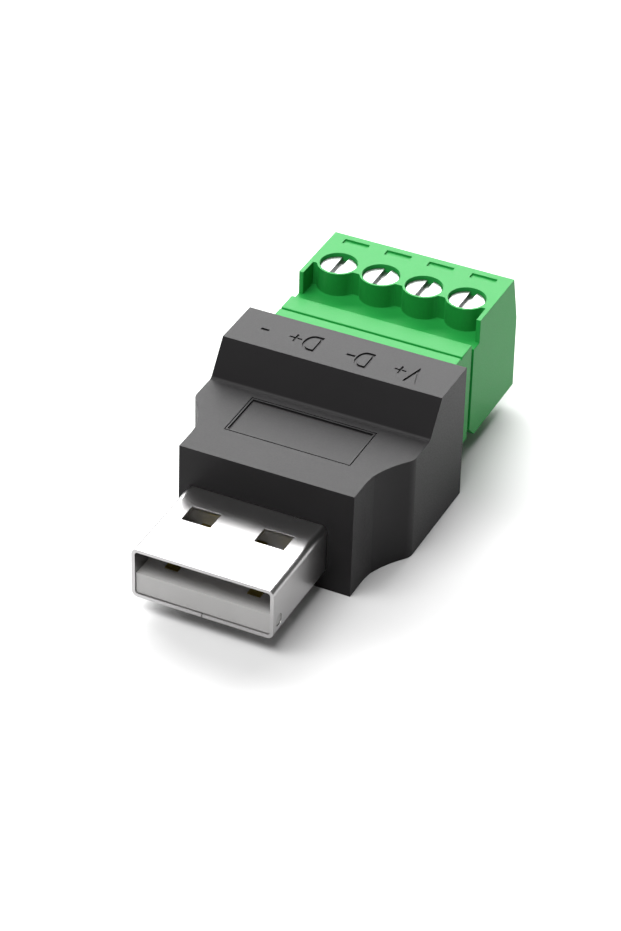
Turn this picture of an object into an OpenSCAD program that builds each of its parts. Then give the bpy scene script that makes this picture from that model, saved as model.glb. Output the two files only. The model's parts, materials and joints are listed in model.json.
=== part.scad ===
// USB-A plug adapter with a pluggable four-way screw terminal block.
// +Z is up, -Y is the plug end, +Y is the wire end, X is the width.
// The origin is at the middle of the length and width, on the underside.

/* [USB plug] */
// Width of the plug shell
plug_w = 12; // [11:0.1:13]
// Height of the plug shell
plug_h = 4.5; // [4.2:0.1:5.2]
// Length of shell that stands out of the housing
plug_reach = 9.1; // [8.2:0.1:12]
// Height of the shell's underside above the base
plug_z = 1.4; // [1.2:0.1:2]
// Sideways offset of the plug from the middle of the housing
plug_offset = -0.7; // [-0.7:0.1:0.7]
// Thickness of the shell's sheet
shell_t = 0.3; // [0.2:0.05:0.35]
// Outer radius of the shell's long edges
shell_r = 0.55; // [0.45:0.05:0.8]
// Width of the folded sheet's seam in the underside
seam_w = 0.08; // [0.05:0.01:0.2]
// Width of a latch window
window_w = 2.5; // [2:0.1:3]
// Length of a latch window along the plug
window_l = 1.9; // [1.5:0.1:2.4]
// Distance of the latch windows from the tip
window_set = 5; // [4.6:0.1:5.4]
// Distance between the centres of the two windows
window_pitch = 6.2; // [5.8:0.1:6.6]
// Radius of the round hole in each side of the shell
stake_r = 0.5; // [0.3:0.05:0.6]
// Distance of the side holes from the tip
stake_set = 1; // [0.8:0.05:1.6]

/* [Contact carrier] */
// Thickness of the tongue
tongue_t = 1.85; // [1.6:0.05:2]
// How far the tongue stops short of the shell's tip
tongue_set = 0.15; // [0.1:0.05:0.6]
// Length of the carrier's solid rear block
carrier_l = 4.4; // [3.8:0.1:4.8]
// Distance between the two outer contacts
outer_span = 7; // [6.8:0.1:7.4]
// Distance between the two inner contacts
inner_span = 2; // [1.9:0.1:2.4]
// Width of a contact strip
strip_w = 1.1; // [0.8:0.05:1.3]
// Thickness of a contact strip
strip_t = 0.2; // [0.15:0.05:0.3]
// How far the contacts stand proud of the tongue
strip_proud = 0.05; // [0.02:0.01:0.1]
// Distance of the outer contacts from the tip
outer_set = 1.7; // [1.4:0.1:2.2]
// Distance of the inner contacts from the tip
inner_set = 2.7; // [2.3:0.1:3.4]
// Length of a contact's soldered foot
foot_l = 1.3; // [0.8:0.1:1.8]

/* [Housing] */
// Width of the nose
nose_w = 14.9; // [14.8:0.1:16]
// Height of the nose
nose_h = 9.3; // [8.8:0.1:9.8]
// How far the nose's front face leans back
nose_lean = 0.2; // [0:0.05:0.4]
// Width of the body behind the flare
body_w = 19; // [18.8:0.1:20.5]
// Height of the tall part over the header
tall_h = 12.1; // [11.9:0.1:13]
// Distance from the front face to the start of the flare
flare_set = 3; // [2.6:0.1:3.4]
// Length of the flare
flare_l = 3.7; // [3.2:0.1:4.2]
// Radius of the flare's hollow curve
flare_r = 9; // [6:0.5:14]
// Distance from the front face to the foot of the steep face
step_set = 9.6; // [9:0.1:10.4]
// Run of the steep face
slope_l = 2.05; // [1.6:0.05:2.6]
// Radius at the foot of the steep face
slope_fillet = 0.5; // [0.2:0.1:1]
// Length of the flat top of the tall part
crest_l = 4.8; // [4.4:0.1:5.6]
// Side wall thickness
wall = 1.2; // [0.9:0.1:1.2]
// Roof thickness
roof = 0.9; // [0.7:0.05:0.95]
// Thickness of the solid front that holds the plug
front_wall = 3.3; // [3:0.1:3.8]
// Thickness of the rear wall round the header
rear_wall = 1.2; // [0.9:0.1:1.5]
// Width of the bare panel sunk in the nose's top
panel_w = 10.4; // [8:0.2:12]
// Length of the panel
panel_l = 4.5; // [3.5:0.1:4.9]
// Distance from the panel's rear edge to the foot of the steep face
panel_set = 1.1; // [0.8:0.1:1.4]
// Depth of the panel
panel_d = 0.15; // [0.1:0.05:0.3]
// Thickness of the base cover
base_t = 0.95; // [0.8:0.05:1.1]

/* [Circuit board] */
// Board thickness
board_t = 1; // [0.8:0.1:1.2]

/* [Header] */
// Width of the header
header_w = 16; // [15.9:0.1:16.2]
// Height of the header
header_h = 9.1; // [8.9:0.05:9.15]
// Length of the header inside the housing
header_in = 3.5; // [3:0.1:4]
// Length of the header that stands out of the housing
header_out = 4.65; // [4:0.05:5.2]
// Thickness of the header's side walls
shroud_side = 0.8; // [0.6:0.05:0.9]
// Thickness of the header's top and floor
shroud_top = 1.3; // [1:0.1:1.6]
// Thickness of the header's back wall
shroud_back = 1.5; // [1.2:0.1:2]
// Distance of the top groove from the header's open end
groove_set = 2.2; // [1.8:0.1:2.6]
// Width and depth of the top groove
groove_w = 0.2; // [0.1:0.05:0.3]
// Width of a square header pin
pin_w = 1; // [0.8:0.05:1.1]
// How far the pin tips stay inside the header's open end
pin_set = 1; // [0.6:0.1:1.6]

/* [Terminal block] */
// Distance from one terminal to the next
pitch = 3.81; // [3.75:0.01:3.9]
// Number of terminals
poles = 4;
// Width of the block
block_w = 16.1; // [16:0.1:16.8]
// Height of the block's underside above the base
block_z = 1.6; // [1.5:0.05:1.9]
// Height of the block
block_h = 10.95; // [10.8:0.05:11.6]
// Depth of the block at its base
block_l = 9.25; // [9:0.05:9.8]
// Gap between the header's open end and the block
seat_gap = 0.3; // [0.2:0.05:0.4]
// How far the upper back face leans forwards
back_lean = 1.2; // [0.6:0.1:1.5]
// How far the lower back face leans
back_tuck = 0.12; // [0:0.02:0.3]
// Height of the bend in the back face above the block's underside
bend_h = 6.7; // [6:0.1:7.6]
// Chamfer along the bottom front edge
toe = 1.05; // [0.6:0.05:1.1]
// Depth of the trough in front of the screw towers, below the block's top
trough_d = 2.1; // [1.8:0.05:2.3]
// Distance from the block's front to the screw axes
screw_set = 3.75; // [3.6:0.05:3.9]
// How far the wall between the towers stands in front of the screw axes
tower_wall = 0.8; // [0.5:0.05:1.1]
// Outer radius of a screw tower
tower_r = 1.78; // [1.74:0.01:1.85]
// Radius of a screw well
well_r = 1.56; // [1.53:0.01:1.6]
// Thickness of the fin at each end
fin_t = 0.4; // [0.35:0.05:0.5]
// Distance from the block's front to the fins
fin_set = 1.1; // [0.9:0.05:1.4]
// Width of the shallow mark behind each screw
mark_w = 2.2; // [1.8:0.1:2.6]
// Length of the mark
mark_l = 0.7; // [0.5:0.05:0.9]
// Distance from a screw's axis to the mark's middle
mark_set = 3.3; // [3.1:0.05:3.5]
// Depth of the mark
mark_d = 0.15; // [0.1:0.05:0.3]
// Radius of a wire entry
wire_r = 1.15; // [1:0.05:1.2]
// Radius of a wire entry's funnel at the back face
funnel_r = 1.65; // [1.5:0.05:1.75]
// Depth of the funnel
funnel_l = 1.2; // [0.8:0.1:1.6]

/* [Clamps] */
// Radius of a screw's head
head_r = 1.48; // [1.44:0.01:1.5]
// Height of a screw's head
head_h = 1.1; // [0.9:0.05:1.3]
// Depth of the head's top below the block's top
head_drop = 0.4; // [0.3:0.05:0.6]
// Width of the driver slot
slot_w = 0.6; // [0.4:0.05:0.8]
// Depth of the driver slot
slot_d = 0.5; // [0.3:0.05:0.7]
// Radius of a screw's shank
shank_r = 1; // [0.9:0.05:1.1]
// Width of a clamp cage
cage_w = 2.9; // [2.8:0.05:3]
// Length of a clamp cage along the wire
cage_l = 3.2; // [2.8:0.1:3.4]
// Height of a clamp cage
cage_h = 4.7; // [4.6:0.05:4.9]
// Thickness of the cage's threaded top
cage_top = 1.2; // [1:0.05:1.3]
// Thickness of the cage's floor
cage_floor = 0.6; // [0.5:0.05:0.7]
// Thickness of the cage's sides
cage_side = 0.45; // [0.4:0.05:0.5]
// How far a cage rises when its screw is tightened
cage_rise = 1.8; // [1.6:0.05:1.85]
// Thickness of the block's floor under the cages
block_floor = 0.85; // [0.7:0.05:0.95]
// Width of the contact bar inside a cage
bar_w = 1.7; // [1.5:0.05:1.8]
// Thickness of the contact bar
bar_t = 0.5; // [0.4:0.05:0.5]
// Outer width of a socket
socket_w = 2; // [1.9:0.05:2.1]
// Outer height of a socket
socket_h = 1.9; // [1.8:0.05:2]
// Wall thickness of a socket
socket_t = 0.3; // [0.2:0.05:0.35]

/* [Clearances] */
// Gap round a piece pressed or glued in place
press_gap = 0.02; // [0.01:0.005:0.04]
// Gap round a piece that drops in
drop_gap = 0.05; // [0.03:0.01:0.1]
// Gap between sliding or turning pieces
run_gap = 0.05; // [0.03:0.01:0.08]
// Loose gap round a clamp cage
cage_gap = 0.1; // [0.06:0.01:0.12]
// Inset of the circuit board from the housing's walls
board_gap = 0.25; // [0.15:0.05:0.35]

/* [Hidden] */
$fn = 64;
over = 1;                                       // how far a cut runs past a face

// stations along the length, from the plug's tip
face_y = plug_reach;
pocket_y = face_y + front_wall;
flare_y0 = face_y + flare_set;
flare_y1 = flare_y0 + flare_l;
step_y = face_y + step_set;
crest_y = step_y + slope_l;
rear_y = crest_y + crest_l;
header_y0 = rear_y - header_in;
header_y1 = rear_y + header_out;
block_y0 = header_y1 + seat_gap;
block_y1 = block_y0 + block_l;
screw_y = block_y0 + screw_set;
tip_y = -block_y1 / 2;                          // shifts the tip so that the length is centred

// heights
board_z = base_t;
board_top = base_t + board_t;
header_z = board_top;
tongue_z = plug_z + shell_t + press_gap + tongue_t;
block_top = block_z + block_h;
trough_z = block_top - trough_d;
cage_z = block_z + block_floor + drop_gap;
bar_z = cage_z + cage_h - cage_top - cage_gap - bar_t;
socket_z = bar_z;
pin_z = socket_z + socket_h / 2;
head_z = block_top - head_drop - head_h;
chamber_top = cage_z + cage_h + cage_rise + cage_gap;
wire_z = (cage_z + cage_floor + bar_z) / 2;

shroud_w = header_w - 2 * shroud_side;          // inside of the header
shroud_z0 = header_z + shroud_top;
shroud_z1 = header_z + header_h - shroud_top;
slope_angle = atan((tall_h - nose_h) / slope_l);

function pole_x(i) = (i - (poles - 1) / 2) * pitch;
function strip_x(i) = plug_offset + [-outer_span, -inner_span, inner_span, outer_span][i] / 2;
function strip_set(i) = (i == 0 || i == 3) ? outer_set : inner_set;

// ---- helpers ----------------------------------------------------------

// Moves a shape laid out from the plug's tip into the part's own frame.
module place() translate([0, tip_y, 0]) children();

// Extrudes an (x, z) outline along Y from y0.
module along_y(y0, l)
  translate([0, y0 + l, 0]) rotate([90, 0, 0]) linear_extrude(height = l) children();

// Extrudes a (y, z) outline along X, centred on x.
module along_x(x, w)
  translate([x - w / 2, 0, 0]) rotate([90, 0, 90]) linear_extrude(height = w) children();

// A box centred on x, from y0 and z0.
module block_at(x, y0, z0, w, l, h) translate([x - w / 2, y0, z0]) cube([w, l, h]);

// A centred rectangle with round corners.
module round_rect(w, h, r) {
  square([w - 2 * r, h], center = true);
  square([w, h - 2 * r], center = true);
  for (sx = [-1, 1], sz = [-1, 1])
    translate([sx * (w / 2 - r), sz * (h / 2 - r)]) circle(r = r);
}

// The plug's section, shrunk by inset all round.
module plug_section(inset)
  translate([plug_offset, plug_z + plug_h / 2])
    round_rect(plug_w - 2 * inset, plug_h - 2 * inset, max(shell_r - inset, 0.1));

// ---- plug -------------------------------------------------------------

// Folded sheet-metal shell: seam underneath, four latch windows, two side holes.
module usb_shell() color("gainsboro") place() difference() {
  along_y(0, pocket_y) difference() {
    plug_section(0);
    plug_section(shell_t);
  }
  block_at(plug_offset, -over, plug_z - over, seam_w, pocket_y + 2 * over, over + shell_t + press_gap);
  for (s = [-1, 1])
    block_at(plug_offset + s * window_pitch / 2, window_set, plug_z - over,
             window_w, window_l, plug_h + 2 * over);
  translate([plug_offset - plug_w / 2 - over, stake_set, plug_z + shell_t + tongue_t / 2])
    rotate([0, 90, 0]) cylinder(r = stake_r, h = plug_w + 2 * over);
}

// Moulded insulator: a tongue along the floor and a block that fills the shell's root.
module contact_carrier() color("darkgray") place() difference() {
  along_y(tongue_set, pocket_y - tongue_set) plug_section(shell_t + press_gap);
  block_at(plug_offset, tongue_set - over, tongue_z,
           plug_w, pocket_y - carrier_l - tongue_set + over, plug_h);
  for (i = [0 : 3])
    block_at(strip_x(i), strip_set(i) - press_gap, tongue_z + strip_proud - strip_t,
             strip_w + 2 * press_gap, pocket_y + over, strip_t + press_gap);
}

// One contact strip: along the tongue, down behind the carrier, out along the board.
module usb_contact(i) color("gold") place() along_x(strip_x(i), strip_w) {
  top = tongue_z + strip_proud;
  bend_y = pocket_y + board_gap + 2 * strip_t;
  polygon([
    [strip_set(i), top - strip_t], [bend_y - strip_t, top - strip_t],
    [bend_y - strip_t, board_top], [bend_y - strip_t + foot_l, board_top],
    [bend_y - strip_t + foot_l, board_top + strip_t], [bend_y, board_top + strip_t],
    [bend_y, top], [strip_set(i), top]
  ]);
}

// ---- housing ----------------------------------------------------------

// Half of the flare's plan: the corner between nose and body, hollowed by an arc.
module flare(side) {
  a = [nose_w / 2, flare_y0];
  b = [body_w / 2, flare_y1];
  half = norm(b - a) / 2;
  out = [b[1] - a[1], a[0] - b[0]] / (2 * half);
  centre = (a + b) / 2 + out * sqrt(flare_r * flare_r - half * half);
  mirror([side < 0 ? 1 : 0, 0]) difference() {
    polygon([[0, a[1]], a, b, [0, b[1]]]);
    translate(centre) circle(r = flare_r, $fn = 180);
  }
}

// Outer plan of the housing.
module outer_plan() {
  translate([-nose_w / 2, face_y - over]) square([nose_w, flare_set + over]);
  for (side = [-1, 1]) flare(side);
  translate([-body_w / 2, flare_y1]) square([body_w, rear_y - flare_y1]);
}

// Side view of the housing, with the fillet at the foot of the steep face.
module outer_profile() {
  foot = [step_y, nose_h];
  tangent = slope_fillet * tan(slope_angle / 2);
  up = [cos(slope_angle), sin(slope_angle)];
  polygon([[face_y, 0], [face_y + nose_lean, nose_h], foot, [crest_y, tall_h],
           [rear_y, tall_h], [rear_y, 0]]);
  difference() {
    polygon([foot - [tangent, 0], foot + up * tangent, foot + [tangent, -tangent]]);
    translate(foot + [-tangent, slope_fillet]) circle(r = slope_fillet);
  }
}

// Inner plan of the housing, shrunk by inset: cavity, cover and board share it.
module inner_plan(inset) {
  nose_x = nose_w / 2 - wall - inset;
  body_x = body_w / 2 - wall - inset;
  front = pocket_y + inset;
  rear = rear_y - rear_wall - inset;
  polygon([
    [-nose_x, front], [nose_x, front], [nose_x, flare_y0 + wall], [body_x, flare_y1 + wall],
    [body_x, rear], [-body_x, rear], [-body_x, flare_y1 + wall], [-nose_x, flare_y0 + wall]
  ]);
}

// Side view of the cavity, its slope a wall's thickness under the steep face.
module inner_profile() {
  back = wall / sin(slope_angle) - roof / tan(slope_angle);
  polygon([
    [pocket_y, -over], [pocket_y, nose_h - roof], [step_y + back, nose_h - roof],
    [crest_y + back, tall_h - roof], [rear_y - rear_wall, tall_h - roof], [rear_y - rear_wall, -over]
  ]);
}

// Moulded cover, open underneath, with pockets for the plug and the header.
module housing() color("dimgray") place() difference() {
  intersection() {
    along_x(0, body_w + 2 * over) outer_profile();
    linear_extrude(height = tall_h + over) outer_plan();
  }
  intersection() {
    along_x(0, body_w) inner_profile();
    translate([0, 0, -over]) linear_extrude(height = tall_h + 2 * over) inner_plan(0);
  }
  along_y(face_y - over, front_wall + 2 * over) plug_section(-press_gap);
  block_at(0, rear_y - rear_wall - over, header_z, header_w + 2 * drop_gap,
           rear_wall + 2 * over, header_h + drop_gap);
  block_at(0, step_y - panel_set - panel_l, nose_h - panel_d, panel_w, panel_l, panel_d + over);
}

// Flat cover that closes the underside and carries the board.
module base_cover() color("dimgray") place()
  linear_extrude(height = base_t) inner_plan(drop_gap);

// Board between the plug and the header, drilled for the header's legs.
module circuit_board() color("darkgreen") place() difference() {
  translate([0, 0, board_z]) linear_extrude(height = board_t) inner_plan(board_gap);
  for (i = [0 : poles - 1])
    block_at(pole_x(i), header_y0 - 2 * pin_w - press_gap, board_z - over,
             pin_w + 2 * press_gap, pin_w + 2 * press_gap, board_t + 2 * over);
}

// ---- header -----------------------------------------------------------

// Shrouded header: a box open towards the wire end.
module header() color("limegreen") place() difference() {
  block_at(0, header_y0, header_z, header_w, header_y1 - header_y0, header_h);
  block_at(0, header_y0 + shroud_back, shroud_z0, shroud_w,
           header_y1 - header_y0 - shroud_back + over, shroud_z1 - shroud_z0);
  block_at(0, header_y1 - groove_set, header_z + header_h - groove_w,
           header_w + 2 * over, groove_w, groove_w + over);
  for (i = [0 : poles - 1])
    block_at(pole_x(i), header_y0 - over, pin_z - pin_w / 2 - press_gap,
             pin_w + 2 * press_gap, shroud_back + 2 * over, pin_w + 2 * press_gap);
}

// Bent square pin: soldered leg, then through the header's back wall.
module header_pin(i) color("silver") place() along_x(pole_x(i), pin_w) {
  leg_y = header_y0 - 2 * pin_w;
  polygon([
    [leg_y, board_z], [leg_y + pin_w, board_z], [leg_y + pin_w, pin_z - pin_w / 2],
    [header_y1 - pin_set, pin_z - pin_w / 2], [header_y1 - pin_set, pin_z + pin_w / 2],
    [leg_y, pin_z + pin_w / 2]
  ]);
}

// ---- terminal block ---------------------------------------------------

// Side view of the block behind the header.
module block_profile() {
  wall_y = screw_y - tower_wall;
  polygon([
    [block_y0, block_z + toe], [block_y0 + toe, block_z], [block_y1, block_z],
    [block_y1 - back_tuck, block_z + bend_h], [block_y1 - back_lean, block_top],
    [wall_y, block_top], [wall_y, trough_z], [block_y0, trough_z]
  ]);
}

// Everything cut for one terminal: well, bore, cage chamber, contact channel, wire entry, mark.
module terminal_cuts(i) translate([pole_x(i), 0, 0]) {
  chamber_l = cage_l + 2 * cage_gap;
  chamber_y = screw_y - chamber_l / 2;
  channel_w = socket_w + 2 * press_gap;
  nose_y = header_y0 + shroud_back;
  translate([0, screw_y, head_z - drop_gap]) cylinder(r = well_r, h = block_h);
  translate([0, screw_y, cage_z]) cylinder(r = shank_r + run_gap, h = block_h);
  block_at(0, chamber_y, cage_z - drop_gap, cage_w + 2 * cage_gap, chamber_l,
           chamber_top - cage_z + drop_gap);
  block_at(0, nose_y, socket_z, channel_w, screw_y - nose_y, socket_h + press_gap);
  translate([0, screw_y, wire_z]) rotate([-90, 0, 0]) cylinder(r = wire_r, h = block_l);
  translate([0, block_y1 - back_tuck - funnel_l, wire_z]) rotate([-90, 0, 0])
    cylinder(r1 = wire_r, r2 = funnel_r, h = funnel_l);
  translate([0, block_y1 - back_tuck, wire_z]) rotate([-90, 0, 0]) cylinder(r = funnel_r, h = over);
  block_at(0, screw_y + mark_set - mark_l / 2, block_top - mark_d, mark_w, mark_l, mark_d + over);
}

// Moulded block: stepped profile, screw towers, end fins and the nose that fills the header.
module terminal_block() color("limegreen") place() difference() {
  union() {
    along_x(0, block_w) block_profile();
    for (i = [0 : poles - 1])
      translate([pole_x(i), screw_y, trough_z]) cylinder(r = tower_r, h = trough_d);
    for (s = [-1, 1])
      block_at(s * (block_w - fin_t) / 2, block_y0 + fin_set, trough_z,
               fin_t, screw_set - tower_wall - fin_set, trough_d);
    block_at(0, header_y0 + shroud_back + seat_gap, shroud_z0 + run_gap, shroud_w - 2 * run_gap,
             block_y0 - header_y0 - shroud_back - seat_gap, shroud_z1 - shroud_z0 - 2 * run_gap);
  }
  for (i = [0 : poles - 1]) terminal_cuts(i);
}

// Plug-side contact: a square socket with a bar that runs on into the cage.
module socket(i) color("goldenrod") place() translate([pole_x(i), 0, 0]) {
  socket_y = header_y0 + shroud_back + 2 * seat_gap;
  difference() {
    block_at(0, socket_y, socket_z, socket_w, block_y0 - socket_y, socket_h);
    block_at(0, socket_y - over, socket_z + socket_t, socket_w - 2 * socket_t,
             block_y0 - socket_y - socket_t + over, socket_h - 2 * socket_t);
  }
  block_at(0, block_y0, bar_z, bar_w, screw_set + cage_l / 2, bar_t);
}

// Box clamp with a tapped top: it rises as its screw is tightened.
module clamp_cage(i) color("silver") place() translate([pole_x(i), screw_y, cage_z]) difference() {
  block_at(0, -cage_l / 2, 0, cage_w, cage_l, cage_h);
  block_at(0, -cage_l / 2 - over, cage_floor, cage_w - 2 * cage_side, cage_l + 2 * over,
           cage_h - cage_floor - cage_top);
  translate([0, 0, cage_h - cage_top - over]) cylinder(r = shank_r + run_gap, h = cage_top + 2 * over);
}

// Slotted cheese-head screw, its tip just above the contact bar.
module clamp_screw(i) color("gainsboro") place() translate([pole_x(i), screw_y, 0]) difference() {
  union() {
    translate([0, 0, head_z]) cylinder(r = head_r, h = head_h);
    translate([0, 0, bar_z + bar_t + run_gap]) cylinder(r = shank_r, h = head_z - bar_z - bar_t);
  }
  block_at(0, -head_r - over, head_z + head_h - slot_d, slot_w, 2 * (head_r + over), slot_d + over);
}

usb_shell();
contact_carrier();
usb_contact(0);  // usb_contact_1
usb_contact(1);  // usb_contact_2
usb_contact(2);  // usb_contact_3
usb_contact(3);  // usb_contact_4
housing();
base_cover();
circuit_board();
header();
header_pin(0);  // header_pin_1
header_pin(1);  // header_pin_2
header_pin(2);  // header_pin_3
header_pin(3);  // header_pin_4
terminal_block();
socket(0);  // socket_1
socket(1);  // socket_2
socket(2);  // socket_3
socket(3);  // socket_4
clamp_cage(0);  // clamp_cage_1
clamp_cage(1);  // clamp_cage_2
clamp_cage(2);  // clamp_cage_3
clamp_cage(3);  // clamp_cage_4
clamp_screw(0);  // clamp_screw_1
clamp_screw(1);  // clamp_screw_2
clamp_screw(2);  // clamp_screw_3
clamp_screw(3);  // clamp_screw_4
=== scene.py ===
"""Type A plug adapter with a pluggable screw terminal block: finishes, fine detail and studio.

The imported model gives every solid. This script rounds their moulded and stamped edges,
adds the polarity marks and the screws' threads, and gives each piece its finish.
"""

from __future__ import annotations

import json
import logging
import math
from dataclasses import dataclass, field
from enum import Enum
from typing import Any

import bpy
from mathutils import Matrix, Vector

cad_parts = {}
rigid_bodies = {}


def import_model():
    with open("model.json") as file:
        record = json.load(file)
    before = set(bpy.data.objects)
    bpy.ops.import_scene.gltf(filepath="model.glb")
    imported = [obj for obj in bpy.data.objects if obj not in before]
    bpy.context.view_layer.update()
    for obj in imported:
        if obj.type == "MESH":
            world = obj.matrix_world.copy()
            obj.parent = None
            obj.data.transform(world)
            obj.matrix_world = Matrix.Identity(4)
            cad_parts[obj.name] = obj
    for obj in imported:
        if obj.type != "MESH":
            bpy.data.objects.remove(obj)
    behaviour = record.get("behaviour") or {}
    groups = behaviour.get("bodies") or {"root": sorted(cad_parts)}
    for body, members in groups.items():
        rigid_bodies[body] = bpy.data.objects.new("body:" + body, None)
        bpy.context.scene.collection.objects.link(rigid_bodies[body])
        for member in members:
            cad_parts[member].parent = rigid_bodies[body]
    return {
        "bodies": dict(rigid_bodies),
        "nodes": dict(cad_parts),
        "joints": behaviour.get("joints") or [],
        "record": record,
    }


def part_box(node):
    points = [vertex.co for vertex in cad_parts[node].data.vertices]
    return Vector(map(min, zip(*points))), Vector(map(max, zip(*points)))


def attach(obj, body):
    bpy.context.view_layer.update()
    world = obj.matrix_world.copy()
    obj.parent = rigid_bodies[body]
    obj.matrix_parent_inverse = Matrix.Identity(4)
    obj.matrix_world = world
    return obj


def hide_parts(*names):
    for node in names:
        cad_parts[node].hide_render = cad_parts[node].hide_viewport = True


LOG = logging.getLogger("adapter")
MM = 0.001
TOUCH_MM = 0.001  # points of a cutter this near are one point
MERGE_MM = 0.002  # points of a copied solid this near are one point
SLIVER_MM = 0.004  # rounding leaves strips this thin where two edges meet
FLAT_DEG = 0.3  # faces that meet at less than this are one flat face


# ---- colours and nodes ---------------------------------------------------


def linear(colour: str) -> tuple[float, float, float, float]:
    """Turn an sRGB hex colour such as "8CFB9F" into a linear RGBA value."""
    channels = [int(colour[i : i + 2], 16) / 255 for i in (0, 2, 4)]
    return (*(c / 12.92 if c <= 0.04045 else ((c + 0.055) / 1.055) ** 2.4 for c in channels), 1.0)


def add_node(
    tree: bpy.types.NodeTree,
    kind: str,
    values: dict[Any, Any] | None = None,
    links: dict[Any, bpy.types.NodeSocket] | None = None,
    **settings: Any,
) -> bpy.types.Node:
    """Add a node to a tree with its settings, socket values and incoming links.

    Args:
        tree: The node tree that gets the node.
        kind: Blender's identifier of the node type.
        values: Constant values by input socket.
        links: Output sockets to link, by input socket.
        settings: Properties of the node itself.

    Returns:
        The new node.
    """
    node = tree.nodes.new(kind)
    for name, value in settings.items():
        setattr(node, name, value)
    for key, value in (values or {}).items():
        node.inputs[key].default_value = value
    for key, socket in (links or {}).items():
        tree.links.new(socket, node.inputs[key])
    return node


def new_material(name: str) -> tuple[bpy.types.Material, bpy.types.NodeTree, bpy.types.Node]:
    """Make an empty node material with its shader wired to the output.

    Args:
        name: The finish's name.

    Returns:
        The material, its node tree and its Principled shader.
    """
    material = bpy.data.materials.new(name)
    material.use_nodes = True
    tree = material.node_tree
    tree.nodes.clear()
    shader = add_node(tree, "ShaderNodeBsdfPrincipled")
    add_node(tree, "ShaderNodeOutputMaterial", links={"Surface": shader.outputs["BSDF"]})
    return material, tree, shader


# ---- finishes ------------------------------------------------------------


@dataclass(frozen=True)
class MouldedPlastic:
    """Injection-moulded plastic: an even colour under a fine spark-eroded grain.

    The grain of the tool is about 0.03 mm, too fine to show, so it is drawn coarser.
    """

    name: str
    colour: str
    shade: str
    roughness: float
    grain_mm: float = 0.12
    relief_mm: float = 0.004
    ior: float = 1.5
    gloss: float = 0.5
    glow: float = 0.0
    glow_mm: float = 0.4

    def build(self) -> bpy.types.Material:
        """Make the material."""
        material, tree, shader = new_material(self.name)
        place = add_node(tree, "ShaderNodeTexCoord").outputs["Object"]
        cloud = add_node(
            tree,
            "ShaderNodeTexNoise",
            {"Scale": 1 / (2.5 * MM), "Detail": 2.0, "Roughness": 0.5},
            {"Vector": place},
        )
        grain = add_node(
            tree,
            "ShaderNodeTexNoise",
            {"Scale": 1 / (self.grain_mm * MM), "Detail": 1.0, "Roughness": 0.5},
            {"Vector": place},
        )
        tint = add_node(
            tree,
            "ShaderNodeMix",
            {6: linear(self.colour), 7: linear(self.shade)},
            {0: cloud.outputs[0]},
            data_type="RGBA",
        )
        sheen = add_node(
            tree,
            "ShaderNodeMapRange",
            {
                "From Min": 0.3,
                "From Max": 0.7,
                "To Min": self.roughness - 0.04,
                "To Max": self.roughness + 0.04,
            },
            {"Value": grain.outputs[0]},
        )
        relief = add_node(
            tree,
            "ShaderNodeBump",
            {"Strength": 0.6, "Distance": self.relief_mm * MM},
            {"Height": grain.outputs[0]},
        )
        tree.links.new(tint.outputs[2], shader.inputs["Base Color"])
        tree.links.new(sheen.outputs[0], shader.inputs["Roughness"])
        tree.links.new(relief.outputs[0], shader.inputs["Normal"])
        shader.inputs["IOR"].default_value = self.ior
        shader.inputs["Specular IOR Level"].default_value = self.gloss
        if self.glow > 0:
            shader.inputs["Subsurface Weight"].default_value = self.glow
            shader.inputs["Subsurface Radius"].default_value = (0.2, 1.0, 0.3)
            shader.inputs["Subsurface Scale"].default_value = self.glow_mm * MM
        return material


@dataclass(frozen=True)
class PlatedMetal:
    """Bright plated metal: a soft haze of slightly duller patches."""

    name: str
    colour: str
    haze: str
    roughness: float

    def build(self) -> bpy.types.Material:
        """Make the material."""
        material, tree, shader = new_material(self.name)
        place = add_node(tree, "ShaderNodeTexCoord").outputs["Object"]
        cloud = add_node(
            tree,
            "ShaderNodeTexNoise",
            {"Scale": 1 / (3.0 * MM), "Detail": 1.0, "Roughness": 0.4},
            {"Vector": place},
        )
        tint = add_node(
            tree,
            "ShaderNodeMix",
            {6: linear(self.colour), 7: linear(self.haze)},
            {0: cloud.outputs[0]},
            data_type="RGBA",
        )
        sheen = add_node(
            tree,
            "ShaderNodeMapRange",
            {
                "From Min": 0.1,
                "From Max": 0.9,
                "To Min": self.roughness - 0.02,
                "To Max": self.roughness + 0.03,
            },
            {"Value": cloud.outputs[0]},
        )
        tree.links.new(tint.outputs[2], shader.inputs["Base Color"])
        tree.links.new(sheen.outputs[0], shader.inputs["Roughness"])
        shader.inputs["Metallic"].default_value = 1.0
        return material


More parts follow.
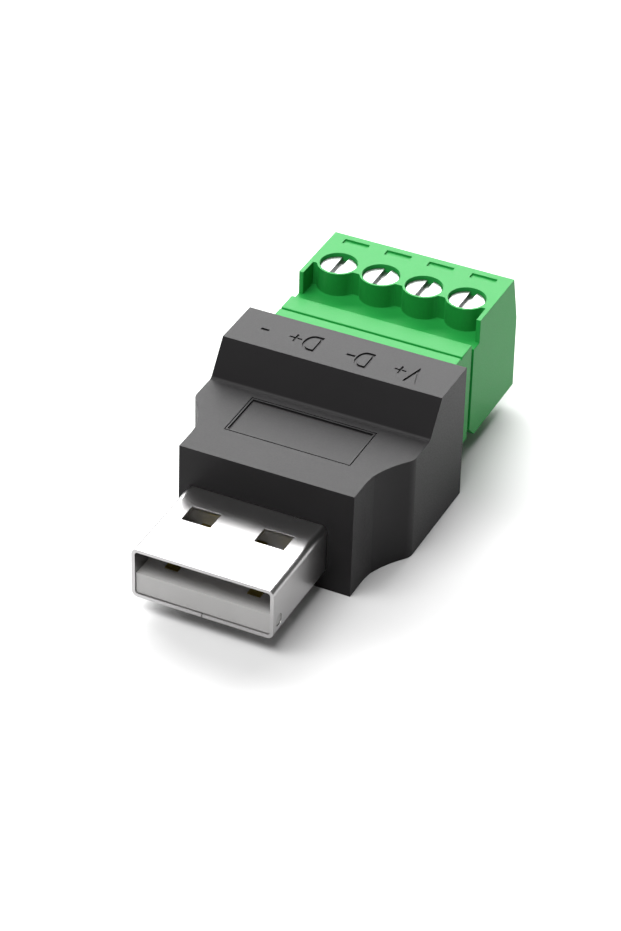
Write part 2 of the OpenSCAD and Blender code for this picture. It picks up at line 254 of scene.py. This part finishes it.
class Finish(Enum):
    """Every finish on the adapter."""

    # Injection-moulded ABS from a fine-grained tool: near black, with a soft dull sheen.
    BLACK_ABS = MouldedPlastic("black_moulded_abs", "1C1B1C", "201F20", 0.45, gloss=0.14)
    # Moulded nylon: an even, saturated green that stays dull; the light it scatters at its edges is
    # left out.
    GREEN_NYLON = MouldedPlastic("green_moulded_nylon", "1E8A3A", "228F3F", 0.45, gloss=0.14)
    # Moulded thermoplastic behind the contacts: pale, matt and without highlights.
    GREY_CARRIER = MouldedPlastic("grey_moulded_carrier", "A5A4A3", "B0AFAE", 0.5)
    # Cured solder mask over laminate: dark and glossier than the plastics.
    SOLDER_MASK = MouldedPlastic("green_solder_mask", "0B3D1F", "0F4726", 0.25, grain_mm=0.3)
    # Bright nickel on folded steel: clear reflections, softened by a slight haze.
    NICKEL_SHELL = PlatedMetal("nickel_plated_steel", "B9B8B8", "B2B1B1", 0.28)
    # Zinc on turned steel: a duller, slightly cool grey.
    ZINC_SCREW = PlatedMetal("zinc_plated_steel", "A9ABAA", "9FA19F", 0.36)
    # Tin on a drawn pin: pale and faintly warm.
    TIN_PIN = PlatedMetal("tin_plated_pin", "CFCEC9", "BDBCB6", 0.3)
    # Thin nickel on a stamped cage: greyer and duller than the shell.
    NICKEL_CAGE = PlatedMetal("nickel_plated_cage", "C4C2BE", "B5B3AE", 0.35)
    # Bare brass, stamped and folded: a clear yellow.
    BRASS_SOCKET = PlatedMetal("brass_socket", "D9B65C", "C9A34A", 0.3)
    # Flash gold on a stamped spring: a pale, greenish yellow.
    GOLD_CONTACT = PlatedMetal("gold_plated_contact", "B9A860", "A8964E", 0.35)

    def material(self) -> bpy.types.Material:
        """The finish's material, built the first time it is asked for."""
        return bpy.data.materials.get(self.value.name) or self.value.build()


# ---- modelling helpers ---------------------------------------------------


def only(piece: bpy.types.Object) -> None:
    """Select one object, make it active and drop every other selection."""
    bpy.ops.object.select_all(action="DESELECT")
    piece.select_set(True)
    bpy.context.view_layer.objects.active = piece


def tidy_shell(piece: bpy.types.Object) -> None:
    """Merge a copied solid's loose triangles and melt them into flat faces."""
    only(piece)
    bpy.ops.object.mode_set(mode="EDIT")
    bpy.ops.mesh.select_all(action="SELECT")
    bpy.ops.mesh.remove_doubles(threshold=MERGE_MM * MM)
    bpy.ops.mesh.dissolve_limited(angle_limit=math.radians(1.0))
    bpy.ops.object.mode_set(mode="OBJECT")


def close_slivers(piece: bpy.types.Object) -> None:
    """Merge the slivers that a rounding leaves, so that a later cut meets a closed solid."""
    only(piece)
    bpy.ops.mesh.customdata_custom_splitnormals_clear()
    bpy.ops.object.mode_set(mode="EDIT")
    bpy.ops.mesh.select_all(action="SELECT")
    bpy.ops.mesh.remove_doubles(threshold=SLIVER_MM * MM)
    bpy.ops.mesh.dissolve_degenerate(threshold=MERGE_MM * MM)
    bpy.ops.mesh.dissolve_limited(angle_limit=math.radians(FLAT_DEG))
    bpy.ops.mesh.normals_make_consistent(inside=False)
    bpy.ops.object.mode_set(mode="OBJECT")


def cut_away(piece: bpy.types.Object, cutter: bpy.types.Object) -> None:
    """Take a cutter's shape out of a piece and remove the cutter.

    Args:
        piece: The piece that is cut.
        cutter: The closed shape that is taken away.
    """
    only(cutter)
    bpy.ops.object.mode_set(mode="EDIT")
    bpy.ops.mesh.select_all(action="SELECT")
    bpy.ops.mesh.remove_doubles(threshold=TOUCH_MM * MM)
    bpy.ops.mesh.dissolve_limited(angle_limit=math.radians(FLAT_DEG))
    bpy.ops.mesh.normals_make_consistent(inside=False)
    bpy.ops.object.mode_set(mode="OBJECT")
    only(piece)
    cut = piece.modifiers.new("cut", "BOOLEAN")
    cut.operation = "DIFFERENCE"
    cut.solver = "EXACT"
    cut.object = cutter
    bpy.ops.object.modifier_apply(modifier=cut.name)
    bpy.data.objects.remove(cutter)


def even_shading(piece: bpy.types.Object) -> None:
    """Shade a piece smooth, with its flat faces kept flat up to their rounded edges."""
    only(piece)
    bpy.ops.mesh.customdata_custom_splitnormals_clear()
    bpy.ops.object.shade_smooth_by_angle(angle=math.radians(35.0), keep_sharp_edges=False)
    weight = piece.modifiers.new("shading", "WEIGHTED_NORMAL")
    weight.mode = "FACE_AREA"
    weight.weight = 100
    weight.keep_sharp = True
    bpy.ops.object.modifier_apply(modifier=weight.name)


def round_edges(
    piece: bpy.types.Object, radius_mm: float, segments: int = 2, angle: float = 28.0
) -> None:
    """Round a piece's sharp edges and shade it smooth between them.

    Args:
        piece: The piece to round.
        radius_mm: Width of the rounding.
        segments: Faces across the rounding.
        angle: Smallest corner, in degrees, that is rounded.
    """
    only(piece)
    bevel = piece.modifiers.new("edge", "BEVEL")
    bevel.width = radius_mm * MM
    bevel.segments = segments
    bevel.limit_method = "ANGLE"
    bevel.angle_limit = math.radians(angle)
    bevel.use_clamp_overlap = True
    bevel.miter_outer = "MITER_ARC"
    bpy.ops.object.modifier_apply(modifier=bevel.name)
    close_slivers(piece)
    even_shading(piece)


def dress(piece: bpy.types.Object, finish: Finish) -> None:
    """Give a piece one finish all over."""
    piece.data.materials.clear()
    piece.data.materials.append(finish.material())


@dataclass
class Frame:
    """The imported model's nodes and which body each one rides on."""

    nodes: dict[str, bpy.types.Object]
    body_of: dict[str, str]
    slot_of: dict[str, str]

    @classmethod
    def read(cls, loaded: dict[str, Any]) -> "Frame":
        record = loaded["record"]
        bodies = record["behaviour"]["bodies"]
        return cls(
            nodes=dict(loaded["nodes"]),
            body_of={node: body for body, nodes in bodies.items() for node in nodes},
            slot_of={s["node"]: s["material_slot"] for s in record["subparts"]},
        )

    def copy(self, node: str, name: str) -> bpy.types.Object:
        """Copy a solid into a new piece that stands for it.

        Args:
            node: The solid's node.
            name: The new piece's name.

        Returns:
            The piece, merged into flat faces and riding on the node's body.
        """
        source = self.nodes[node]
        piece = bpy.data.objects.new(name, source.data.copy())
        bpy.context.scene.collection.objects.link(piece)
        tidy_shell(piece)
        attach(piece, self.body_of[node])
        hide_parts(node)
        return piece

    def keep(self, node: str, finish: Finish) -> None:
        """Dress a solid that needs no rounding."""
        source = self.nodes[node]
        source.data.materials.clear()
        source.data.materials.append(finish.material())
        LOG.info("kept %s in %s", node, finish.value.name)


# ---- sub-assemblies ------------------------------------------------------


@dataclass
class UsbPlug:
    """Folded shell, contact carrier and four contacts."""

    frame: Frame
    shell_edge_mm: float = 0.04
    middle_mm: float = -0.7
    stud_reach_mm: float = 5.78
    stud_radius_mm: float = 0.47
    stud_length_mm: float = 0.3
    stud_y_mm: float = -18.875
    stud_z_mm: float = 2.625
    tongue_edge_mm: float = 0.08

    def build(self) -> None:
        """Build and dress the plug."""
        shell = self.frame.copy("usb_shell", "stamped_shell")
        round_edges(shell, self.shell_edge_mm)
        dress(shell, Finish.NICKEL_SHELL)
        LOG.info("built %s", shell.name)
        carrier = self.frame.copy("contact_carrier", "moulded_carrier")
        round_edges(carrier, self.tongue_edge_mm)
        dress(carrier, Finish.GREY_CARRIER)
        LOG.info("built %s", carrier.name)
        for side, reach in (("left", -self.stud_reach_mm), ("right", self.stud_reach_mm)):
            self.build_stud(side, self.middle_mm + reach)
        for number in range(1, 5):
            self.frame.keep(f"usb_contact_{number}", Finish.GOLD_CONTACT)

    def build_stud(self, side: str, x: float) -> None:
        """Set the carrier's moulded stud into the shell's round side hole.

        Args:
            side: The side's name.
            x: The stud's middle across the plug, in millimetres.
        """
        bpy.ops.object.select_all(action="DESELECT")
        bpy.ops.mesh.primitive_cylinder_add(
            vertices=40,
            radius=self.stud_radius_mm * MM,
            depth=self.stud_length_mm * MM,
            location=(x * MM, self.stud_y_mm * MM, self.stud_z_mm * MM),
            rotation=(0, math.pi / 2, 0),
        )
        stud = bpy.context.object
        stud.name = f"carrier_stud_{side}"
        bpy.ops.object.transform_apply(location=True, rotation=True, scale=True)
        round_edges(stud, 0.06)
        dress(stud, Finish.GREY_CARRIER)
        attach(stud, "adapter")
        LOG.info("built %s", stud.name)


@dataclass(frozen=True)
class Glyph:
    """One engraved character and the box it fills on the tall top, in millimetres."""

    name: str
    text: str
    low: tuple[float, float]
    high: tuple[float, float]


@dataclass
class Housing:
    """Black moulded cover, base and board, with the terminals' polarity marks."""

    frame: Frame
    edge_mm: float = 0.15
    engraving_mm: float = 0.12
    stroke_mm: float = 0.18
    line_mm: float = 0.1
    panel_low: tuple[float, float] = (-5.2, -6.775)
    panel_high: tuple[float, float] = (5.2, -2.275)
    line_gap_mm: float = 0.12
    nose_top_mm: float = 9.3
    flare_edges: tuple[tuple[float, float, float], ...] = ((7.45, -7.775, 0.9), (9.5, -4.075, 0.45))
    glyphs: tuple[Glyph, ...] = (
        Glyph("supply_v", "V", (5.7, 1.7), (6.95, 3.9)),
        Glyph("supply_plus", "+", (4.5, 2.45), (5.5, 3.5)),
        Glyph("minus_d", "D", (1.15, 1.85), (2.45, 4.05)),
        Glyph("minus_sign", "-", (0.3, 2.95), (1.05, 3.2)),
        Glyph("plus_d", "D", (-3.5, 2.1), (-2.15, 4.3)),
        Glyph("plus_sign", "+", (-4.8, 2.8), (-3.7, 3.85)),
        Glyph("ground_sign", "-", (-7.3, 3.15), (-6.6, 3.42)),
    )

    def build(self) -> None:
        """Build and dress the housing."""
        cover = self.frame.copy("housing", "moulded_cover")
        self.soften_flare(cover)
        round_edges(cover, self.edge_mm, segments=3)
        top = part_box("housing")[1].z
        for glyph in self.glyphs:
            if glyph.text == "+":
                self.engrave_plus(cover, glyph, top)
            else:
                self.engrave(cover, glyph, top)
        self.outline_panel(cover)
        even_shading(cover)
        dress(cover, Finish.BLACK_ABS)
        LOG.info("built %s", cover.name)
        base = self.frame.copy("base_cover", "moulded_base")
        round_edges(base, 0.08)
        dress(base, Finish.BLACK_ABS)
        LOG.info("built %s", base.name)
        self.frame.keep("circuit_board", Finish.SOLDER_MASK)

    def soften_flare(self, cover: bpy.types.Object) -> None:
        """Round the upright edges where the flare meets the nose and the body.

        Args:
            cover: The piece whose edges are rounded.
        """
        for x, y, radius in self.flare_edges:
            only(cover)
            bpy.ops.object.mode_set(mode="EDIT")
            bpy.ops.mesh.select_all(action="DESELECT")
            bpy.ops.object.mode_set(mode="OBJECT")
            mesh = cover.data
            for edge in mesh.edges:
                a, b = (mesh.vertices[i].co for i in edge.vertices)
                upright = abs(a.x - b.x) < 0.02 * MM and abs(a.y - b.y) < 0.02 * MM
                here = abs(abs(a.x) - x * MM) < 0.05 * MM and abs(a.y - y * MM) < 0.05 * MM
                edge.select = upright and here and abs(a.z - b.z) > 2 * MM
            bpy.ops.object.mode_set(mode="EDIT")
            bpy.ops.mesh.select_mode(type="EDGE")
            bpy.ops.mesh.bevel(offset=radius * MM, segments=5, affect="EDGES")
            bpy.ops.object.mode_set(mode="OBJECT")

    def engrave(self, cover: bpy.types.Object, glyph: Glyph, top: float) -> None:
        """Cut one character into the tall top, so that it reads from the wires' end.

        Args:
            cover: The piece that is cut.
            glyph: The character and its place.
            top: Height of the tall top.
        """
        bpy.ops.object.select_all(action="DESELECT")
        bpy.ops.object.text_add(location=(0, 0, 0))
        letter = bpy.context.object
        letter.data.body = glyph.text
        letter.data.size = 2 * MM
        letter.data.resolution_u = 6
        letter.data.extrude = self.engraving_mm * MM
        only(letter)
        bpy.ops.object.convert(target="MESH")
        letter = bpy.context.object
        spots = [v.co for v in letter.data.vertices]
        low = Vector((min(s.x for s in spots), min(s.y for s in spots), 0))
        high = Vector((max(s.x for s in spots), max(s.y for s in spots), 0))
        middle = (low + high) / 2
        wide = (glyph.high[0] - glyph.low[0]) * MM / (high.x - low.x)
        tall = (glyph.high[1] - glyph.low[1]) * MM / (high.y - low.y)
        place = Vector(
            ((glyph.low[0] + glyph.high[0]) / 2 * MM, (glyph.low[1] + glyph.high[1]) / 2 * MM, top)
        )
        letter.matrix_world = (
            Matrix.Translation(place)
            @ Matrix.Rotation(math.pi, 4, "Z")
            @ Matrix.Diagonal((wide, tall, 1, 1))
            @ Matrix.Translation(-middle)
        )
        bpy.ops.object.transform_apply(location=True, rotation=True, scale=True)
        cut_away(cover, letter)
        LOG.info("engraved %s", glyph.name)

    def engrave_plus(self, cover: bpy.types.Object, glyph: Glyph, top: float) -> None:
        """Cut a plus sign into the tall top, as two crossing bars.

        Args:
            cover: The piece that is cut.
            glyph: The sign and its place.
            top: Height of the tall top.
        """
        x, y = ((a + b) / 2 for a, b in zip(glyph.low, glyph.high))
        across, along = (b - a for a, b in zip(glyph.low, glyph.high))
        for size_x, size_y in ((across, self.stroke_mm), (self.stroke_mm, along)):
            bpy.ops.object.select_all(action="DESELECT")
            bpy.ops.mesh.primitive_cube_add(size=1.0, location=(x * MM, y * MM, top))
            bar = bpy.context.object
            bar.scale = (size_x * MM, size_y * MM, 2 * self.engraving_mm * MM)
            bpy.ops.object.transform_apply(location=True, rotation=True, scale=True)
            cut_away(cover, bar)
        LOG.info("engraved %s", glyph.name)

    def outline_panel(self, cover: bpy.types.Object) -> None:
        """Cut the fine line that runs round the bare panel.

        Args:
            cover: The piece that is cut.
        """
        reach = self.line_gap_mm + self.line_mm
        low = [v - reach for v in self.panel_low]
        high = [v + reach for v in self.panel_high]
        bpy.ops.object.select_all(action="DESELECT")
        bpy.ops.mesh.primitive_plane_add(
            size=1.0,
            location=(
                (low[0] + high[0]) / 2 * MM,
                (low[1] + high[1]) / 2 * MM,
                self.nose_top_mm * MM,
            ),
        )
        frame = bpy.context.object
        frame.scale = ((high[0] - low[0]) * MM, (high[1] - low[1]) * MM, 1)
        bpy.ops.object.transform_apply(location=True, rotation=True, scale=True)
        bpy.ops.object.mode_set(mode="EDIT")
        bpy.ops.mesh.select_all(action="SELECT")
        bpy.ops.mesh.inset(thickness=self.line_mm * MM)
        bpy.ops.mesh.delete(type="FACE")
        bpy.ops.mesh.select_all(action="SELECT")
        bpy.ops.transform.translate(value=(0, 0, -self.line_mm * MM))
        bpy.ops.mesh.extrude_region_move(
            TRANSFORM_OT_translate={"value": (0, 0, 2 * self.line_mm * MM)}
        )
        bpy.ops.object.mode_set(mode="OBJECT")
        cut_away(cover, frame)


@dataclass
class Header:
    """Green shrouded header with four bent pins."""

    frame: Frame
    edge_mm: float = 0.1

    def build(self) -> None:
        """Build and dress the header."""
        shroud = self.frame.copy("header", "moulded_shroud")
        round_edges(shroud, self.edge_mm)
        dress(shroud, Finish.GREEN_NYLON)
        LOG.info("built %s", shroud.name)
        for number in range(1, 5):
            pin = self.frame.copy(f"header_pin_{number}", f"square_pin_{number}")
            round_edges(pin, 0.12)
            dress(pin, Finish.TIN_PIN)
            LOG.info("built %s", pin.name)


@dataclass
class TerminalBlock:
    """Green pluggable block with sockets, clamp cages and slotted screws."""

    frame: Frame
    edge_mm: float = 0.05
    head_mm: float = 1.49
    head_h_mm: float = 1.1
    head_raise_mm: float = 0.12
    core_mm: float = 0.84
    crest_mm: float = 0.99
    thread_mm: float = 0.4
    tip_mm: float = 0.2
    tip_share: float = 0.8
    crest_at: float = 0.45
    core_at: float = 0.95
    rim_mm: float = 0.07
    rim_bulge_mm: float = 0.02
    sides: int = 48
    slot_w_mm: float = 0.6
    slot_d_mm: float = 0.4

    def build(self) -> None:
        """Build and dress the block."""
        body = self.frame.copy("terminal_block", "moulded_block")
        round_edges(body, self.edge_mm)
        dress(body, Finish.GREEN_NYLON)
        LOG.info("built %s", body.name)
        for number in range(1, 5):
            self.frame.keep(f"socket_{number}", Finish.BRASS_SOCKET)
            cage = self.frame.copy(f"clamp_cage_{number}", f"box_clamp_{number}")
            round_edges(cage, 0.08)
            dress(cage, Finish.NICKEL_CAGE)
            self.build_screw(number)

    def build_screw(self, number: int) -> None:
        """Turn one cheese-head screw: rounded head, threaded shank, driver slot.

        Args:
            number: The terminal it belongs to.
        """
        low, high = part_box(f"clamp_screw_{number}")
        middle = (low + high) / 2
        top = high.z + self.head_raise_mm * MM
        under = high.z - self.head_h_mm * MM
        core, crest, head = (v * MM for v in (self.core_mm, self.crest_mm, self.head_mm))
        tip, rim, rim_bulge = (v * MM for v in (self.tip_mm, self.rim_mm, self.rim_bulge_mm))
        pitch = self.thread_mm * MM
        outline = [(0.0, low.z), (core * self.tip_share, low.z), (core, low.z + tip)]
        for turn in range(int((under - low.z - 2 * tip) / pitch)):
            foot = low.z + tip + turn * pitch
            outline.append((crest, foot + self.crest_at * pitch))
            outline.append((core, foot + self.core_at * pitch))
        outline += [(core, under), (head, under), (head, top - rim)]
        outline += [(head - rim_bulge, top - rim_bulge), (head - rim, top), (0.0, top)]
        mesh = bpy.data.meshes.new(f"slotted_screw_{number}")
        mesh.from_pydata(
            [(middle.x + r, middle.y, z) for r, z in outline],
            [(i, i + 1) for i in range(len(outline) - 1)],
            [],
        )
        screw = bpy.data.objects.new(f"slotted_screw_{number}", mesh)
        bpy.context.scene.collection.objects.link(screw)
        only(screw)
        bpy.ops.object.mode_set(mode="EDIT")
        bpy.ops.mesh.select_all(action="SELECT")
        bpy.ops.mesh.spin(
            steps=self.sides,
            angle=2 * math.pi,
            center=(middle.x, middle.y, 0),
            axis=(0, 0, 1),
        )
        bpy.ops.mesh.select_all(action="SELECT")
        bpy.ops.mesh.remove_doubles(threshold=MERGE_MM * MM)
        bpy.ops.mesh.normals_make_consistent(inside=False)
        bpy.ops.object.mode_set(mode="OBJECT")
        bpy.ops.mesh.primitive_cube_add(size=1.0, location=(middle.x, middle.y, top))
        slot = bpy.context.object
        slot.scale = (self.slot_w_mm * MM, 4 * MM, 2 * self.slot_d_mm * MM)
        bpy.ops.object.transform_apply(location=True, rotation=True, scale=True)
        cut_away(screw, slot)
        even_shading(screw)
        dress(screw, Finish.ZINC_SCREW)
        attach(screw, f"screw_{number}")
        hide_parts(f"clamp_screw_{number}")
        LOG.info("built %s", screw.name)


# ---- studio --------------------------------------------------------------


@dataclass
class Softbox:
    """One rectangular studio light, aimed at a point."""

    name: str
    azimuth: float
    elevation: float
    distance: float
    width: float
    height: float
    power: float

    def build(self, aim: Vector) -> None:
        """Hang the light.

        Args:
            aim: The point it faces.
        """
        a, e = math.radians(self.azimuth), math.radians(self.elevation)
        back = Vector((math.sin(a) * math.cos(e), -math.cos(a) * math.cos(e), math.sin(e)))
        data = bpy.data.lights.new(self.name, "AREA")
        data.shape = "RECTANGLE"
        data.size = self.width
        data.size_y = self.height
        data.energy = self.power
        lamp = bpy.data.objects.new(self.name, data)
        bpy.context.scene.collection.objects.link(lamp)
        lamp.location = aim + back * self.distance
        lamp.rotation_euler = back.to_track_quat("Z", "Y").to_euler()


@dataclass
class Studio:
    """Pale floor, soft light and the camera."""

    azimuth: float = 24.78
    elevation: float = 35.33
    roll: float = 1.5
    lens: float = 130.2
    distance: float = 0.2541
    aim_x: float = 0.00377
    aim_y: float = -0.01067
    aim_z: float = 0.01113
    surround: float = 0.15
    lights: list[Softbox] = field(
        default_factory=lambda: [
            Softbox("back_softbox", 212.0, 36.0, 0.6, 0.8, 0.4, 10.0),
            Softbox("overhead_softbox", 335.0, 68.0, 0.6, 0.5, 0.3, 4.0),
        ]
    )

    def build(self) -> None:
        """Set floor, lights, world and camera."""
        self.build_floor()
        self.build_world()
        centre = Vector((0, 0, 0.006))
        for light in self.lights:
            light.build(centre)
        self.build_camera()
        bpy.context.scene.view_settings.view_transform = "Standard"

    def build_floor(self) -> None:
        """Lay the pale floor under the base."""
        bpy.ops.object.select_all(action="DESELECT")
        bpy.ops.mesh.primitive_plane_add(size=4.0, location=(0, 0, -0.02 * MM))
        floor = bpy.context.object
        floor.name = "studio_floor"
        material, _, shader = new_material("pale_paper_floor")
        shader.inputs["Base Color"].default_value = linear("D8D8D8")
        shader.inputs["Roughness"].default_value = 0.9
        shader.inputs["Specular IOR Level"].default_value = 0.1
        floor.data.materials.append(material)

    def build_world(self) -> None:
        """Give the room a dim neutral light."""
        world = bpy.data.worlds.new("studio_room")
        bpy.context.scene.world = world
        world.use_nodes = True
        glow = world.node_tree.nodes["Background"]
        glow.inputs["Color"].default_value = (1, 1, 1, 1)
        glow.inputs["Strength"].default_value = self.surround

    def build_camera(self) -> None:
        """Stand the camera at its angle, turned by its small roll."""
        a, e, roll = (math.radians(v) for v in (self.azimuth, self.elevation, self.roll))
        back = Vector((math.sin(a) * math.cos(e), -math.cos(a) * math.cos(e), math.sin(e)))
        right = Vector((math.cos(a), math.sin(a), 0))
        up = back.cross(right)
        across = right * math.cos(roll) + up * math.sin(roll)
        over = up * math.cos(roll) - right * math.sin(roll)
        data = bpy.data.cameras.new("camera")
        data.lens = self.lens
        data.sensor_width = 36.0
        data.sensor_fit = "AUTO"
        data.clip_start, data.clip_end = 0.01, 10.0
        camera = bpy.data.objects.new("camera", data)
        bpy.context.scene.collection.objects.link(camera)
        place = Vector((self.aim_x, self.aim_y, self.aim_z)) + back * self.distance
        turn = Matrix((across, over, back)).transposed().to_4x4()
        camera.matrix_world = Matrix.Translation(place) @ turn
        bpy.context.scene.camera = camera


def main() -> None:
    """Build the adapter and its studio in order."""
    logging.basicConfig(level=logging.INFO, format="%(name)s: %(message)s")
    frame = Frame.read(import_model())
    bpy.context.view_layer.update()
    UsbPlug(frame).build()
    Housing(frame).build()
    Header(frame).build()
    TerminalBlock(frame).build()
    Studio().build()


if __name__ == "__main__":
    main()
